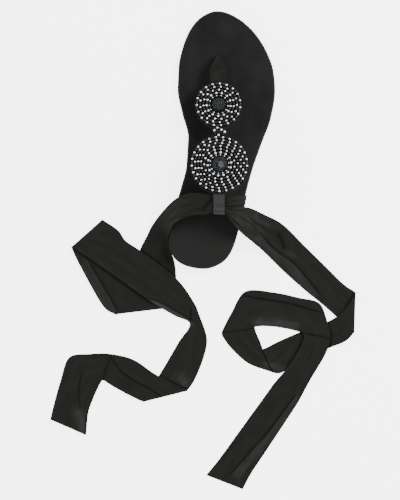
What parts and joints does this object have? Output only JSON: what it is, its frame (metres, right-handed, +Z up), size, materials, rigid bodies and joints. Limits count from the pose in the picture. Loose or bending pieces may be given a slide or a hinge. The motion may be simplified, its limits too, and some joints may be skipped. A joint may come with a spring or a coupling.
{
  "type": "sandal",
  "caption": "Flat right-foot thong sandal with a beaded two-medallion T-strap and long sheer sash ties laid on the ground.",
  "frame": {"origin": "middle of the box around the sandal without its ties, on the ground under the sole", "axes": "+Z up, +Y from the heel to the toe, +X towards the outer side of the right foot"},
  "size_m": [0.2886, 0.4604, 0.0533],
  "materials": {
    "outsole": "smooth matte black rubber",
    "heel_lift": "matte black rubber",
    "insole": "black suede with a short nap",
    "toe_post": "black suede",
    "upper": "black suede with turned edges",
    "beads": "silver-grey and black beads",
    "button": "dark blue-grey gathered cloth",
    "gem": "dark cut stone",
    "keeper": "black ribbed ribbon with a sheen",
    "sash": "black sheer cloth"
  },
  "bodies": {
    "root": {"outsole": "outsole", "heel_lift": "heel_lift", "insole": "insole", "toe_post": "toe_post", "upper": "upper", "beads_front": "beads", "beads_back": "beads", "beads_bridge": "beads", "button_front": "button", "button_back": "button", "gem": "gem", "keeper": "keeper", "side_band": "sash", "tie_left": "sash", "tie_right": "sash"}
  },
  "joints": []
}
